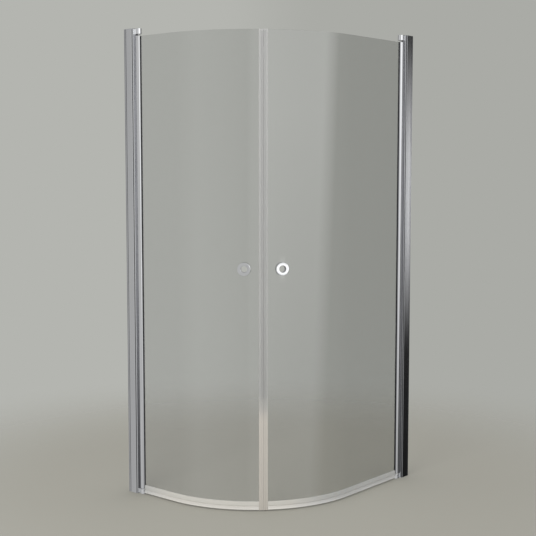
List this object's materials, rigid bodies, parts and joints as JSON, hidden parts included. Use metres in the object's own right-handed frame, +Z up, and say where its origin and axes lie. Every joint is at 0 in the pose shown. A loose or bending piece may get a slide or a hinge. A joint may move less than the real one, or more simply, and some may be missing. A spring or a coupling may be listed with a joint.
{
  "type": "quadrant shower enclosure",
  "caption": "Offset quadrant shower enclosure with curved glass doors that swing outward from wall profiles and close on a magnetic strip.",
  "frame": {"origin": "middle of the footprint, on the floor", "axes": "+Z up; -X towards the left wall, +Y towards the back wall, so the room corner is at -X +Y and the curved glass faces +X -Y"},
  "size_m": [0.8, 1, 2],
  "materials": {
    "polished_aluminium": "polished",
    "chrome": "polished",
    "chromed_plastic": "gloss",
    "stainless_steel": "satin",
    "black_rubber": "matt",
    "grey_rubber": "matt",
    "white_nylon": "matt",
    "grey_glass": "polished",
    "clear_pvc": "gloss",
    "magnet_rubber": "matt",
    "clear_washer": "gloss"
  },
  "bodies": {
    "wall_assemblies": {"left_wall_profile": "polished_aluminium", "left_profile_cap": "chromed_plastic", "left_adjusting_profile": "polished_aluminium", "left_adjusting_screws": "stainless_steel", "left_screw_covers": "chromed_plastic", "left_hinge_seal": "grey_rubber", "left_top_pivot_block": "chrome", "left_bottom_pivot_block": "chrome", "left_pivot_block_screws": "stainless_steel", "left_top_pivot_pin": "stainless_steel", "left_bottom_pivot_pin": "stainless_steel", "left_thrust_washer": "white_nylon", "right_wall_profile": "polished_aluminium", "right_profile_cap": "chromed_plastic", "right_adjusting_profile": "polished_aluminium", "right_adjusting_screws": "stainless_steel", "right_screw_covers": "chromed_plastic", "right_hinge_seal": "grey_rubber", "right_top_pivot_block": "chrome", "right_bottom_pivot_block": "chrome", "right_pivot_block_screws": "stainless_steel", "right_top_pivot_pin": "stainless_steel", "right_bottom_pivot_pin": "stainless_steel", "right_thrust_washer": "white_nylon"},
    "left_door": {"left_door_profile": "polished_aluminium", "left_top_bush": "white_nylon", "left_bottom_bush": "white_nylon", "left_glazing_gasket": "black_rubber", "left_glass_panel": "grey_glass", "left_magnetic_strip": "clear_pvc", "left_magnet_bar": "magnet_rubber", "left_bottom_seal": "clear_pvc", "left_handle_outer_ring": "chrome", "left_handle_inner_ring": "chrome", "left_handle_outer_washer": "clear_washer", "left_handle_inner_washer": "clear_washer"},
    "right_door": {"right_door_profile": "polished_aluminium", "right_top_bush": "white_nylon", "right_bottom_bush": "white_nylon", "right_glazing_gasket": "black_rubber", "right_glass_panel": "grey_glass", "right_magnetic_strip": "clear_pvc", "right_magnet_bar": "magnet_rubber", "right_bottom_seal": "clear_pvc", "right_handle_outer_ring": "chrome", "right_handle_inner_ring": "chrome", "right_handle_outer_washer": "clear_washer", "right_handle_inner_washer": "clear_washer"}
  },
  "joints": [
    {"name": "left_door_hinge", "type": "hinge", "parent": "wall_assemblies", "child": "left_door", "pos_m": [-0.329, -0.482, 1], "axis": [0, 0, -1], "range_deg": [0, 95]},
    {"name": "right_door_hinge", "type": "hinge", "parent": "wall_assemblies", "child": "right_door", "pos_m": [0.382, 0.429, 1], "axis": [0, 0, 1], "range_deg": [0, 95]}
  ]
}
